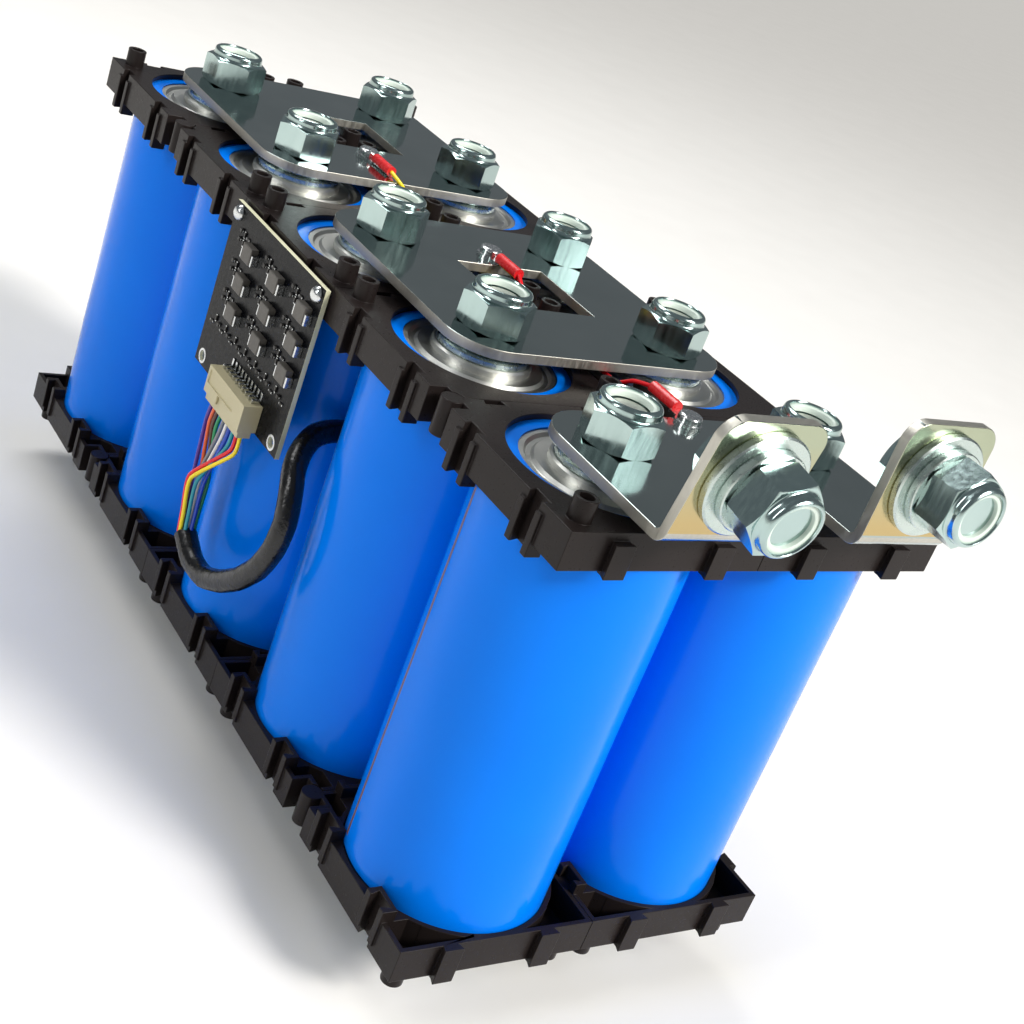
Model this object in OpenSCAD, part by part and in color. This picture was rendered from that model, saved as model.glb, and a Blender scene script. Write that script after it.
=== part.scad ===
// Supercapacitor pack: ten cells in two rows of five, held in snap-together trays
// Row a lies at -X and row b at +X. Index 1 is the rear pair and index 5 the front pair.

/* [Cells] */
// Diameter of the bare aluminium can
can_d = 60.1; // [52:0.1:70]
// Clear distance between neighbouring bare cans
can_space = 4.9; // [4.5:0.1:10]
// Length of the can between its two end faces
can_len = 137; // [100:1:170]
// Radius of the rounded can ends
can_edge_r = 2.4; // [1:0.1:4]
// Diameter of the bead pressed into each can end
bead_d = 40; // [34:1:44]
// Diameter of the raised terminal base
base_d = 30; // [26:1:32]
// Height of the terminal base above the can end
base_h = 2.2; // [1:0.1:5]
// Diameter of the terminal studs
stud_d = 12; // [8:0.5:14]
// Length of stud that stands out past the terminal base
stud_len = 17; // [12:0.5:19]
// Wall of the shrink sleeve
sleeve_t = 0.4; // [0.2:0.1:0.8]
// Opening that the folded sleeve leaves at each end
sleeve_open_d = 46; // [42:1:50]

/* [Trays] */
// Height of one tray module
tray_h = 10.8; // [8:0.1:20]
// Thickness of the lip that closes a module on its outer side
lip_t = 1.8; // [1:0.1:3]
// Round opening in the lip
lip_open_d = 54; // [48:0.5:57]
// Outer wall of a module at its corner pockets
wall_t = 1.6; // [1:0.1:2.5]
// Ring of plastic round each cell
ring_t = 1.5; // [1:0.1:2.5]
// Outer diameter of the hollow posts
post_d = 6.5; // [5.5:0.1:8]
// Bore of the hollow posts
post_bore_d = 4; // [2.5:0.1:4.5]
// Height of the hollow posts
post_h = 6; // [3:0.5:8]
// Distance from a module's edges to a post's axis
post_inset = 6.25; // [5:0.25:7.5]
// Width of a dovetail rib at its outer face
rib_w = 6.5; // [5:0.1:8]
// Width of a dovetail rib where it leaves the wall
rib_neck_w = 5; // [3:0.1:5]
// How far a dovetail rib stands out
rib_out = 2.2; // [1.5:0.1:2.6]
// How far the frames round the outer dovetail slots stand proud of the wall
slot_frame = 0.8; // [0.4:0.1:1.2]
// Thickness of the slot frames beside the slot
slot_wall = 1.6; // [1:0.1:2]
// How far the slot frames reach past the open edge of a module
slot_past = 3.6; // [0:0.1:5]
// Width of the corner notch on each side of its seam
notch_w = 6; // [5:0.25:8]
// Depth of the corner notch
notch_in = 5.5; // [5:0.25:7]
// Diameter of the barrel that stands in the notch
barrel_d = 6.6; // [5:0.1:8]
// Hole for the tap wires where four modules meet
wire_hole_d = 8; // [6:0.5:9]

/* [Bus plates] */
// Thickness of the bus plates
plate_t = 3; // [2:0.5:5]
// Distance from a stud's axis to the edge of its plate
plate_margin = 16.5; // [14:0.5:18]
// Radius of the plate corners
plate_corner_r = 15; // [4:0.5:16]
// Distance from the front studs to the face of the lugs
lug_reach = 45; // [42:0.5:60]
// Height of the lugs above the underside of their plate
lug_h = 37; // [34:0.5:50]
// Height of the lug bolts above the underside of the plate
lug_bolt_h = 20.5; // [18:0.5:22]
// Inside radius of the lug bend
lug_bend_r = 1.5; // [1:0.5:4]
// Radius of the lug corners
lug_corner_r = 6.5; // [2:0.5:12]
// Forward lean of the left lug
lug_lean_left = 8; // [0:1:12]
// Forward lean of the right lug
lug_lean_right = 0; // [0:1:12]

/* [Fasteners] */
// Outer diameter of the lower terminal washer
washer_wide_d = 28; // [25:0.5:30]
// Outer diameter of the upper terminal washer
washer_small_d = 24; // [22:0.5:25]
// Thickness of each terminal washer
washer_t = 2; // [1:0.1:3]
// Width across the flats of nuts and bolt heads
nut_af = 19; // [17:0.5:20]
// Height of a lock nut with its collar
nut_h = 12.8; // [11:0.1:16]
// Height of the hexagon of a lock nut
nut_hex_h = 9.6; // [8:0.1:11]
// Height of the lug bolt heads
bolt_head_h = 7.5; // [5:0.1:9]
// Outer diameter of the flat lug washers
lug_washer_d = 29; // [24:0.5:31]
// Outer diameter of the spring washers on the lugs
spring_washer_d = 23; // [20:0.5:24]
// Thickness of each lug washer
lug_washer_t = 2.5; // [1.5:0.1:3]

/* [Balance board] */
// Thickness of the board
board_t = 1.6; // [1:0.1:2.4]
// Height of the board
board_h = 55.4; // [50:0.1:60]
// Distance from the top of the tray to the top of the board
board_drop = 1.4; // [0.5:0.1:3]
// Distance between neighbouring resistors along the board
chip_pitch_y = 20; // [16:0.5:22]
// Distance between neighbouring resistors up the board
chip_pitch_z = 10.1; // [8:0.1:11]
// Height of a resistor block off the board
chip_h = 2.6; // [1:0.1:4]
// Spacing of the pins in the wire plug
pin_pitch = 2.5; // [2:0.1:2.5]

/* [Tap leads] */
// Diameter of the single leads
lead_d = 1.3; // [1:0.1:1.4]
// Outer diameter of the harness sleeve
harness_d = 7.4; // [6:0.1:8]
// Outer diameter of the ring terminals
ring_d = 8; // [7:0.1:10]
// Thickness of the ring terminals
ring_t_metal = 0.8; // [0.5:0.1:1.2]
// Diameter of the red sleeve on each ring terminal
crimp_d = 3.6; // [3:0.1:4]
// Length of the red sleeve on each ring terminal
crimp_len = 12; // [8:0.5:14]

/* [Hidden] */
ROWS = ["a", "b"];
PAIRS = [1:5];
function name_of(what, row, i) = str(what, "_", ROWS[row], i);

// Running and seating clearances
sleeve_gap = 0.05;
socket_gap = 0.15;
end_gap = 0.05;
module_gap = 0.1;
slot_gap = 0.12;
stud_gap = 0.25;
plug_gap = 0.1;
small_fit = 0.05;
leaf_gap = 0.02;
corner_ease = 0.03;
cut = 1;
cyl_fn = 96;
small_fn = 48;

// Cells and the stack of metal on their terminals, from the middle height outwards
cell_pitch = can_d + can_space;
sleeve_in_d = can_d + 2 * sleeve_gap;
sleeve_d = sleeve_in_d + 2 * sleeve_t;
socket_d = sleeve_d + 2 * socket_gap;
sleeve_end = can_len / 2 + sleeve_gap + sleeve_t;
tray_end = sleeve_end + end_gap + lip_t;
base_end = can_len / 2 + base_h;
plate_under = base_end + 2 * washer_t + leaf_gap;
plate_top = plate_under + plate_t;
nut_end = plate_top + nut_h;
mid_z = nut_end;
module_w = cell_pitch - module_gap;
pack_half_w = cell_pitch - module_gap / 2;
pack_half_l = 2.5 * cell_pitch - module_gap / 2;
bore_d = stud_d + 2 * stud_gap;
bead_rim = 1.4;
bead_floor = 0.6;
bead_deep = 0.9;
base_chamfer = 0.6;
stud_chamfer = 1;
hex_chamfer = 0.9;
collar_round = 1.6;

// Dovetails and notches
rib_at = cell_pitch / 4;
rib_hang = 1.2;
rib_short = 2.4;
frame_w = rib_w / 2 + slot_gap + slot_wall;
frame_in = rib_out + slot_gap + slot_wall;
slot_block = rib_at + frame_w;
barrel_in = 4;
barrel_gap = 0.4;

// Lugs: the bend turns about a line that lies above the tab
bend_out_r = lug_bend_r + plate_t;
front_y = -2 * cell_pitch;
lug_x = cell_pitch / 2;
bend_y = front_y - lug_reach + bend_out_r;
bend_z = mid_z + plate_under + bend_out_r;
lug_up = lug_h - bend_out_r;
lug_bolt_up = lug_bolt_h - bend_out_r;
lug_stack = 2 * lug_washer_t + leaf_gap + nut_h;

// Balance board against the slot frames on the left side of the trays, one pitch long
board_x = -pack_half_w - slot_frame - small_fit;
board_w = cell_pitch + 1;
board_top = mid_z + tray_end - board_drop;
board_screw_in = 3.8;
board_screw_y = board_w / 2 - board_screw_in;
board_screw_down = 3;
board_screw_d = 3;
board_screw_len = 5;
screw_head_r = 2.6;
screw_head_h = 2;
board_hole_d = 3.2;
chip_size = [6.4, 5.4];
chip_y = 14;
chip_down = 10.4;
pins = 10;
header_l = (pins - 1) * pin_pitch + 4.9;
header_y = -4.5;
header_h = 9;
header_d = 6.4;
header_wall = 0.8;
key_w = 8;
key_h = 3;
plug_drop = 2.4;
plug_in = 6;
header_low = board_top - board_h + 0.4;
plug_x = board_x - board_t - header_d / 2;
plug_low = header_low - plug_drop;

// Leads: a ring of eight round a pair inside the harness sleeve, in the order of the plug's pins
bundle_r = 2.3;
pair_off = 0.68;
bundle = [
    [0, -bundle_r], bundle_r * [cos(225), sin(225)], bundle_r * [cos(315), sin(315)], [0, -pair_off],
    [-bundle_r, 0], [bundle_r, 0], [0, pair_off], bundle_r * [cos(135), sin(135)],
    bundle_r * [cos(45), sin(45)], [0, bundle_r]];
bundle_up = 9;
ring_screw_d = 4;
ring_head_d = 7;
ring_head_h = 2.4;
ring_neck = 3;
crimp_from = ring_d / 2 + ring_neck - 1;
// Tap points on the plates: place, side (1 on top, -1 underneath) and way that the lead leaves
taps = [[-4, cell_pitch + 7, 1, -1], [0, -9, 1, -1], [2, 13 - 2 * cell_pitch, 1, 1],
        [0, 2 * cell_pitch - 9, -1, -1], [0, -3, -1, -1], [0, 5 - cell_pitch, -1, 1]];

// Seam where the leads go down between four modules, and the middle of the gaps behind the plates
seam_y = -cell_pitch / 2;
lead_off = 0.7;
lead_step = 1.6;
near_y = seam_y + lead_off;
far_y = seam_y - lead_off;
gap_top = mid_z + (tray_end + plate_under) / 2;
gap_low = mid_z - (tray_end + plate_under) / 2;

// Route of the harness sleeve, from the mouth below the plug round into the gap between two cells
gather_in = 24.6;
gather_up = 12.5;
harness_route = concat(
    [for (p = [[-2.4, 0.5, -42.5], [-2.4, -8.5, -47], [-2.4, -18.5, -46.5], [-2.4, -28.5, -41.5],
               [-2.4, -38.5, -34]]) p + [plug_x, header_y, plug_low]],
    [for (p = [[-1.4, -17.5, -25.5], [-0.4, -21, -16.5], [0.6, -21, -7.5], [1.6, -17.5, 0.5],
               [3.6, -12, 5.5], [7.6, -6.5, 9], [12.6, -2.5, 11.5], [18.6, -0.5, gather_up],
               [gather_in, 0, gather_up]]) p + [plug_x, seam_y, plug_low]]);
gather_x = plug_x + gather_in;
gather_z = plug_low + gather_up;

// Route of each tap lead, from its red sleeve to the end of the harness sleeve
tap_routes = [
    [crimp_end(0), crimp_end(0) + [1, -8, -2], [-lead_step, crimp_end(0)[1] - 16, gap_top + 0.3],
     [-lead_step, near_y + 9.8, gap_top], [-lead_step, near_y, gap_top - 6.3],
     [-2.5, near_y, gather_z + 7], [-12, near_y, gather_z + 2], [gather_x, near_y, gather_z + 1.5]],
    [crimp_end(1), crimp_end(1) + [0, -3.5, -3], [0, near_y, gap_top - 3.3], [0, near_y, gather_z + 5],
     [-8, near_y, gather_z + 0.8], [gather_x, near_y, gather_z]],
    [crimp_end(2), crimp_end(2) + [-0.2, 8, -2.5], [lead_step, crimp_end(2)[1] + 15, gap_top + 0.3],
     [lead_step, near_y - 10.2, gap_top], [lead_step, near_y, gap_top - 6.3],
     [lead_step, near_y, gather_z + 1], [-8, near_y, gather_z - 1.4], [gather_x, near_y, gather_z - 1.5]],
    [crimp_end(3), crimp_end(3) + [-1, -8, 2.5], [-lead_step, crimp_end(3)[1] - 15, gap_low - 0.3],
     [-lead_step, far_y + 11.2, gap_low], [-lead_step, far_y, gap_low + 6.2],
     [-lead_step, far_y, gather_z - 9], [-10, far_y, gather_z - 2], [gather_x, far_y, gather_z - 1.5]],
    [crimp_end(4), crimp_end(4) + [0, -7, 2], [0, far_y, gap_low + 4.2], [0, far_y, gather_z - 7],
     [-8, far_y, gather_z - 0.4], [gather_x, far_y, gather_z]],
    [crimp_end(5), crimp_end(5) + [0.8, 3.5, 1.5], [lead_step, far_y - 1.3, gap_low - 0.8],
     [lead_step, far_y, gap_low + 7.2], [lead_step, far_y, gather_z - 3],
     [-6, far_y, gather_z + 1], [gather_x, far_y, gather_z + 1.5]]];
lead_sides = 8;
harness_sides = 12;
route_up = [1, -1, 0];
lead_up = [1, 1, 1];

// The part's origin lies under the middle of the whole pack, on the surface that it stands on
left_reach = max(-board_x + board_t + header_d, harness_d / 2 - min([for (p = harness_route) p[0]]));
right_reach = pack_half_w + rib_out;
front_reach = -front_y + lug_reach + max(lug_front(lug_lean_left), lug_front(lug_lean_right));
rear_reach = pack_half_l + slot_frame;
origin = [(left_reach - right_reach) / 2, (front_reach - rear_reach) / 2, 0];

function cell_x(row) = (row - 0.5) * cell_pitch;
function cell_y(i) = (3 - i) * cell_pitch;
// Round shoulder of a lock nut's collar, as radius and height
function nut_shoulder() =
    arc(nut_af / 2 - hex_chamfer - collar_round, nut_h - collar_round, collar_round, 0, 90, 4);
// How far a lug's lock nut reaches in front of the plate's upright face, with a lean
function lug_front(lean) =
    max([for (p = nut_shoulder())
        (lug_bolt_up + p[0]) * sin(lean) + (bend_out_r + lug_stack - nut_h + p[1]) * cos(lean)]) - bend_out_r;

// End of the red sleeve on one tap, where its lead comes out
function crimp_end(k) =
    let (t = taps[k])
    [t[0], t[1] + t[3] * (crimp_from + crimp_len), mid_z + t[2] * (plate_top + crimp_d / 2)];

// Points of an arc, for turned outlines
function arc(x, y, r, from, to, n = 6) =
    [for (k = [0:n]) [x + r * cos(from + (to - from) * k / n), y + r * sin(from + (to - from) * k / n)]];

// A swept tube: one ring of points at each point of a route
function unit(v) = v / norm(v);
function route_dir(p, k) = unit(p[min(k + 1, len(p) - 1)] - p[max(k - 1, 0)]);
function sweep_ring(p, k, r, n, up) =
    let (d = route_dir(p, k), u = unit(cross(up, d)), v = cross(d, u))
    [for (a = [0:n - 1]) p[k] + r * (cos(360 * a / n) * u + sin(360 * a / n) * v)];
function sweep_points(p, r, n, up) = [for (k = [0:len(p) - 1]) each sweep_ring(p, k, r, n, up)];
function sweep_faces(m, n) = concat(
    [[for (a = [0:n - 1]) a]],
    [for (k = [0:m - 2]) for (a = [0:n - 1])
        [k * n + a, (k + 1) * n + a, (k + 1) * n + (a + 1) % n, k * n + (a + 1) % n]],
    [[for (a = [n - 1:-1:0]) (m - 1) * n + a]]);

module in_frame() { translate(origin) children(); }
module at_cell(row, i) { in_frame() translate([cell_x(row), cell_y(i), mid_z]) children(); }
module both_ends() { for (s = [0, 1]) mirror([0, 0, s]) children(); }
module tube(route, d, n, up) {
    polyhedron(sweep_points(route, d / 2, n, up), sweep_faces(len(route), n), convexity = 6);
}

// Half outline of a can end: rounded edge, pressed bead, stepped terminal base and chamfered stud
function can_half() = concat(
    [[0, 0], [can_d / 2, 0]],
    arc(can_d / 2 - can_edge_r, can_len / 2 - can_edge_r, can_edge_r, 0, 90),
    [[bead_d / 2 + bead_rim, can_len / 2], [bead_d / 2 + bead_floor, can_len / 2 - bead_deep],
     [bead_d / 2 - bead_floor, can_len / 2 - bead_deep], [bead_d / 2 - bead_rim, can_len / 2],
     [base_d / 2, can_len / 2], [base_d / 2, base_end - base_chamfer], [base_d / 2 - base_chamfer, base_end],
     [stud_d / 2, base_end], [stud_d / 2, base_end + stud_len - stud_chamfer],
     [stud_d / 2 - stud_chamfer, base_end + stud_len], [0, base_end + stud_len]]);

module cell(row, i) {
    color("gainsboro") at_cell(row, i) both_ends()
        rotate_extrude($fn = cyl_fn) polygon(can_half());
}

// Half outline of the shrink sleeve: a straight wall that folds in over the can end
function sleeve_half() = concat(
    [[sleeve_in_d / 2, 0], [sleeve_d / 2, 0]],
    arc(sleeve_in_d / 2 - can_edge_r, sleeve_end - sleeve_t - can_edge_r, can_edge_r + sleeve_t, 0, 90),
    [[sleeve_open_d / 2, sleeve_end], [sleeve_open_d / 2, sleeve_end - sleeve_t]],
    arc(sleeve_in_d / 2 - can_edge_r, sleeve_end - sleeve_t - can_edge_r, can_edge_r, 90, 0));

module sleeve(row, i) {
    color("dodgerblue") at_cell(row, i) both_ends()
        rotate_extrude($fn = cyl_fn) polygon(sleeve_half());
}

// Dovetail outline that points out of a wall at y = 0, grown by a clearance
module dovetail(grow) {
    root = slot_frame + cut;
    polygon([[-rib_neck_w / 2 - grow, -root], [rib_neck_w / 2 + grow, -root], [rib_neck_w / 2 + grow, 0],
             [rib_w / 2 + grow, rib_out + grow], [-rib_w / 2 - grow, rib_out + grow],
             [-rib_neck_w / 2 - grow, 0]]);
}

// Places children at both dovetail spots of one wall: 0 front, 90 right, 180 rear, 270 left
module at_ribs(turn) {
    rotate([0, 0, turn]) for (s = [-1, 1]) translate([s * rib_at, -module_w / 2, 0]) children();
}

module at_corners(skip) {
    for (sx = [-1, 1]) for (sy = [-1, 1])
        if ([sx, sy] != skip) translate([sx, sy, 0] * (cell_pitch / 2 - post_inset)) children();
}

// Square that lies in one corner of a module, measured in from the corner
module corner_square(corner, w, d) {
    if (norm(corner) > 0)
        translate([corner[0] * (module_w - d + cut) / 2, corner[1] * (module_w - w + cut) / 2])
            square([d + cut, w + cut], center = true);
}

// Triangular pockets left open at the four corners of a module
module pockets(notch) {
    difference() {
        for (sx = [-1, 1]) for (sy = [-1, 1])
            translate([sx, sy] * ((module_w / 2 - wall_t + slot_block) / 2))
                square(module_w / 2 - wall_t - slot_block, center = true);
        circle(d = socket_d + 2 * ring_t, $fn = cyl_fn);
        corner_square(notch, notch_w + wall_t, notch_in + wall_t);
    }
}

// One tray module with its lip on the floor and its socket open upwards.
// notch is the corner that is cut away, barrel is true on the module that carries the barrel,
// wire_corner is the corner that shares the wire hole, outer lists the slotted walls that face
// outwards, the ribs run between two heights, and board is true where the board is screwed on.
module tray_module(notch, barrel, wire_corner, outer, rib_low, rib_high, board) {
    barrel_at = [notch[0] * (cell_pitch / 2 - barrel_in), notch[1] * cell_pitch / 2];
    difference() {
        union() {
            linear_extrude(tray_h) difference() {
                square(module_w, center = true);
                corner_square(notch, notch_w, notch_in);
            }
            for (turn = [0, 90]) at_ribs(turn)
                translate([0, 0, rib_low]) linear_extrude(rib_high - rib_low) mirror([0, 1]) dovetail(0);
            for (turn = [180, 270]) at_ribs(turn) slot_guide(is_in(turn, outer) ? slot_frame : 0);
            at_corners(notch) translate([0, 0, -post_h])
                cylinder(d = post_d, h = post_h + lip_t / 2, $fn = small_fn);
            if (barrel) translate(barrel_at) cylinder(d = barrel_d, h = tray_h, $fn = small_fn);
        }
        translate([0, 0, lip_t]) cylinder(d = socket_d, h = tray_h + slot_past, $fn = cyl_fn);
        translate([0, 0, -cut]) cylinder(d = lip_open_d, h = tray_h, $fn = cyl_fn);
        translate([0, 0, lip_t]) linear_extrude(tray_h) pockets(notch);
        at_corners(notch) translate([0, 0, -post_h - cut])
            cylinder(d = post_bore_d, h = post_h + lip_t + 2 * cut, $fn = small_fn);
        for (turn = [180, 270]) at_ribs(turn)
            translate([0, 0, -cut]) linear_extrude(tray_h + slot_past + 2 * cut) dovetail(slot_gap);
        if (norm(notch) > 0 && !barrel) translate([barrel_at[0], barrel_at[1], -cut])
            cylinder(d = barrel_d + 2 * barrel_gap, h = tray_h + slot_past + 2 * cut, $fn = small_fn);
        if (norm(wire_corner) > 0) translate([wire_corner[0], wire_corner[1], 0] * (cell_pitch / 2))
            translate([0, 0, -cut]) cylinder(d = wire_hole_d, h = tray_h + 2 * cut, $fn = small_fn);
        if (board) for (s = [-1, 1])
            translate([-module_w / 2 - cut, s * board_screw_y, board_drop + board_screw_down])
                rotate([0, 90, 0])
                    cylinder(d = board_screw_d + 2 * small_fit, h = wall_t + 2 * cut, $fn = small_fn);
    }
}

// Frame round one dovetail slot: it starts short of the lip and reaches past the open edge
module slot_guide(proud) {
    translate([-frame_w, -proud, rib_short])
        cube([2 * frame_w, proud + frame_in, tray_h + slot_past - rib_short]);
}

// Notched corner of each module: the outer corner at the first and the last seam
function notch_of(row, i) =
    i == 3 ? [0, 0] : [2 * row - 1, i == 1 || i == 4 ? -1 : 1];
function carries_barrel(i) = i == 1 || i == 5;
function is_in(v, list) = len([for (e = list) if (e == v) e]) > 0;
function outer_walls(row, i) = concat(row == 0 ? [270] : [], i == 1 ? [180] : []);
function wire_corner_of(row, i) = i == 3 ? [1 - 2 * row, -1] : i == 4 ? [1 - 2 * row, 1] : [0, 0];

module top_module(row, i) {
    color([0.16, 0.15, 0.15]) at_cell(row, i) translate([0, 0, tray_end]) mirror([0, 0, 1])
        tray_module(notch_of(row, i), carries_barrel(i), wire_corner_of(row, i), outer_walls(row, i),
                    rib_short, tray_h + rib_hang, row == 0 && i == 3);
}

module bottom_module(row, i) {
    color([0.16, 0.15, 0.15]) at_cell(row, i) translate([0, 0, -tray_end])
        tray_module(notch_of(row, i), carries_barrel(i), wire_corner_of(row, i), outer_walls(row, i),
                    -rib_hang, tray_h, false);
}

// Rectangle with round corners
module round_rect(w, l, r) {
    square([w - 2 * r, l], center = true);
    square([w, l - 2 * r], center = true);
    for (sx = [-1, 1]) for (sy = [-1, 1]) translate([sx * (w / 2 - r), sy * (l / 2 - r)])
        circle(r, $fn = small_fn);
}

// Outline of a bus plate that reaches round the studs between two places along the pack
module plate_outline(y_low, y_high) {
    translate([0, (y_low + y_high) / 2])
        round_rect(cell_pitch + 2 * plate_margin, y_high - y_low + 2 * plate_margin, plate_corner_r);
}

module stud_holes(ys, d) {
    for (sx = [-1, 1]) for (y = ys) translate([sx * cell_pitch / 2, y]) circle(d = d, $fn = small_fn);
}

module tap_holes(side) {
    for (t = taps) if (t[2] == side) translate([t[0], t[1]])
        circle(d = ring_screw_d + 2 * small_fit, $fn = small_fn);
}

// Plate that joins two neighbouring pairs, with a square window between the four studs
module window_plate(i_rear, side) {
    y_low = cell_y(i_rear + 1);
    y_high = cell_y(i_rear);
    window = cell_pitch - 2 * plate_margin;
    in_frame() translate([0, 0, mid_z + (side > 0 ? plate_under : -plate_top)])
        linear_extrude(plate_t) difference() {
            plate_outline(y_low, y_high);
            translate([0, (y_low + y_high) / 2]) square(window, center = true);
            stud_holes([y_low, y_high], bore_d);
            tap_holes(side);
        }
}

module top_plate_rear() { color("silver") window_plate(1, 1); }
module top_plate_middle() { color("silver") window_plate(3, 1); }
module bottom_plate_middle() { color("silver") window_plate(2, -1); }
module bottom_plate_front() { color("silver") window_plate(4, -1); }

module bottom_plate_rear() {
    color("silver") in_frame() translate([0, 0, mid_z - plate_top]) linear_extrude(plate_t) difference() {
        plate_outline(cell_y(1), cell_y(1));
        stud_holes([cell_y(1)], bore_d);
        tap_holes(-1);
    }
}

// Frame of one lug: x across the lug, y out of its front face, z up along it from the bend
module at_lug(side) {
    lean = side < 0 ? lug_lean_left : lug_lean_right;
    in_frame() translate([side * lug_x, bend_y, bend_z]) rotate([lean, 0, 0]) children();
}

// Side outline of a lug, along its tab, round the bend and up to its top
function lug_section(lean) =
    let (up = [-sin(lean), cos(lean)], out = [-cos(lean), -sin(lean)], tab = front_y - bend_y)
    concat([[tab, -lug_bend_r], [tab, -bend_out_r]],
           arc(0, 0, bend_out_r, -90, lean - 180, 12),
           [bend_out_r * out + lug_up * up, lug_bend_r * out + lug_up * up],
           arc(0, 0, lug_bend_r, lean - 180, -90, 12));

// What comes off the upright part of a lug: its two top corners and the bolt hole
module lug_cuts() {
    c = [plate_margin - lug_corner_r + corner_ease, lug_up - lug_corner_r + corner_ease];
    for (s = [-1, 1]) translate([s * c[0], c[1]]) difference() {
        translate([s > 0 ? 0 : -lug_corner_r - cut, 0]) square(lug_corner_r + cut);
        circle(lug_corner_r, $fn = small_fn);
    }
    translate([0, lug_bolt_up]) circle(d = bore_d, $fn = small_fn);
}

module lug(side) {
    lean = side < 0 ? lug_lean_left : lug_lean_right;
    difference() {
        in_frame() translate([side * lug_x, bend_y, bend_z]) rotate([90, 0, 90])
            translate([0, 0, -plate_margin]) linear_extrude(2 * plate_margin) polygon(lug_section(lean));
        at_lug(side) translate([0, cut, 0]) rotate([90, 0, 0])
            linear_extrude(bend_out_r + 2 * cut) lug_cuts();
    }
}

module terminal_plate() {
    color("silver") difference() {
        union() {
            in_frame() translate([0, 0, mid_z + plate_under]) linear_extrude(plate_t)
                plate_outline(cell_y(5), cell_y(5));
            for (side = [-1, 1]) lug(side);
        }
        in_frame() translate([0, 0, mid_z + plate_under - cut]) linear_extrude(plate_t + 2 * cut) {
            stud_holes([cell_y(5)], bore_d);
            tap_holes(1);
        }
    }
}

// Flat ring that starts at z = 0
module washer(d, hole, t) {
    difference() {
        cylinder(d = d, h = t, $fn = small_fn);
        translate([0, 0, -cut]) cylinder(d = hole, h = t + 2 * cut, $fn = small_fn);
    }
}

// Hexagon with chamfered corners on both faces
module chamfered_hex(h) {
    corner_r = nut_af / sqrt(3);
    intersection() {
        cylinder(r = corner_r, h = h, $fn = 6);
        rotate_extrude($fn = small_fn)
            polygon([[0, 0], [nut_af / 2, 0], [corner_r + 0.1, hex_chamfer],
                     [corner_r + 0.1, h - hex_chamfer], [nut_af / 2, h], [0, h]]);
    }
}

// Lock nut that stands on z = 0, with its round collar above
module lock_nut() {
    difference() {
        union() {
            chamfered_hex(nut_hex_h);
            rotate_extrude($fn = small_fn) polygon(concat(
                [[0, nut_hex_h / 2], [nut_af / 2 - hex_chamfer, nut_hex_h / 2]],
                nut_shoulder(), [[0, nut_h]]));
        }
        translate([0, 0, -cut]) cylinder(d = stud_d + 2 * small_fit, h = nut_h + 2 * cut, $fn = small_fn);
    }
}

module at_studs() {
    for (row = [0:1]) for (i = PAIRS) at_cell(row, i) both_ends() children();
}

module terminal_washers() {
    color("lightgrey") at_studs() {
        translate([0, 0, base_end]) washer(washer_wide_d, bore_d, washer_t);
        translate([0, 0, base_end + washer_t + leaf_gap]) washer(washer_small_d, bore_d, washer_t);
    }
}

module terminal_nuts() { color("lightsteelblue") at_studs() translate([0, 0, plate_top]) lock_nut(); }

// Places children on a lug's bolt line, with z out of the lug's front face
module at_lug_bolt() {
    for (side = [-1, 1]) at_lug(side) translate([0, -bend_out_r, lug_bolt_up]) rotate([90, 0, 0]) children();
}

module lug_bolts() {
    color("lightgrey") at_lug_bolt() translate([0, 0, -plate_t]) {
        translate([0, 0, -bolt_head_h]) chamfered_hex(bolt_head_h);
        cylinder(d = stud_d, h = plate_t + lug_stack - 2, $fn = small_fn);
    }
}

module lug_washers() {
    color("lightgrey") at_lug_bolt() {
        washer(lug_washer_d, bore_d, lug_washer_t);
        translate([0, 0, lug_washer_t + leaf_gap]) washer(spring_washer_d, bore_d, lug_washer_t);
    }
}

module lug_nuts() { color("lightsteelblue") at_lug_bolt()
        translate([0, 0, 2 * lug_washer_t + leaf_gap]) lock_nut(); }

// Frame of the board: x out of its face, y and z along it, from its middle at the bottom edge
module at_board() {
    in_frame() translate([board_x, 0, board_top - board_h]) children();
}

module at_board_screws() {
    for (s = [-1, 1]) translate([0, s * board_screw_y, board_h - board_screw_down])
        rotate([0, -90, 0]) children();
}

module balance_board() {
    color([0.08, 0.09, 0.12]) at_board() difference() {
        translate([-board_t, -board_w / 2, 0]) cube([board_t, board_w, board_h]);
        at_board_screws() translate([0, 0, -cut])
            cylinder(d = board_screw_d + 2 * small_fit, h = board_t + 2 * cut, $fn = small_fn);
        for (s = [-1, 1]) translate([0, s * (board_screw_y - 1), board_screw_down])
            rotate([0, -90, 0]) translate([0, 0, -cut])
                cylinder(d = board_hole_d, h = board_t + 2 * cut, $fn = small_fn);
    }
}

module board_screws() {
    color("lightgrey") at_board() at_board_screws() {
        translate([0, 0, board_t - board_screw_len])
            cylinder(d = board_screw_d, h = board_screw_len, $fn = small_fn);
        translate([0, 0, board_t]) rotate_extrude($fn = small_fn)
            polygon(concat([[0, 0], [screw_head_r, 0]],
                           arc(screw_head_r - screw_head_h, 0, screw_head_h, 20, 90, 4),
                           [[0, screw_head_h]]));
    }
}

// Nine power resistors in three columns, each a block with bright end caps
module board_resistors() {
    color([0.2, 0.2, 0.2]) at_board() for (c = [0:2]) for (r = [0:2])
        translate([-board_t - chip_h, chip_y - c * chip_pitch_y - chip_size[0] / 2,
                   board_h - chip_down - r * chip_pitch_z - chip_size[1] / 2])
            cube([chip_h, chip_size[0], chip_size[1]]);
}

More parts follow.
